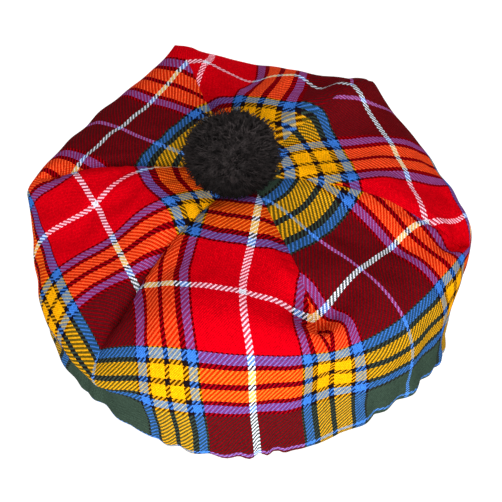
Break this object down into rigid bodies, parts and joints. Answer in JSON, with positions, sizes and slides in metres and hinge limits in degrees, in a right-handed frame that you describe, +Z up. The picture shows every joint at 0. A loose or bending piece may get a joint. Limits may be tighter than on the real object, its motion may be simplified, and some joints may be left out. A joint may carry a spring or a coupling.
{
  "type": "tam o'shanter",
  "caption": "Soft round woollen bonnet of tartan cloth, with a seamed crown of six triangular gores, a gathered underside round the head opening and a yarn pompom on top.",
  "frame": {"origin": "on the table, under the middle of the hat's bounding box", "axes": "+Z up, -Y towards the front gore, +X to the right of someone facing the front gore"},
  "size_m": [0.273, 0.2699, 0.1497],
  "materials": {
    "tartan_wool": "soft matt twill-woven wool in a red, maroon, dark green, yellow and blue tartan with a white line",
    "pompom_yarn": "matt black cut wool yarn"
  },
  "bodies": {
    "root": {"gore_1": "tartan_wool", "gore_2": "tartan_wool", "gore_3": "tartan_wool", "gore_4": "tartan_wool", "gore_5": "tartan_wool", "gore_6": "tartan_wool", "side_band": "tartan_wool", "underside_band": "tartan_wool", "hem_casing": "tartan_wool", "toorie": "pompom_yarn"}
  },
  "joints": []
}
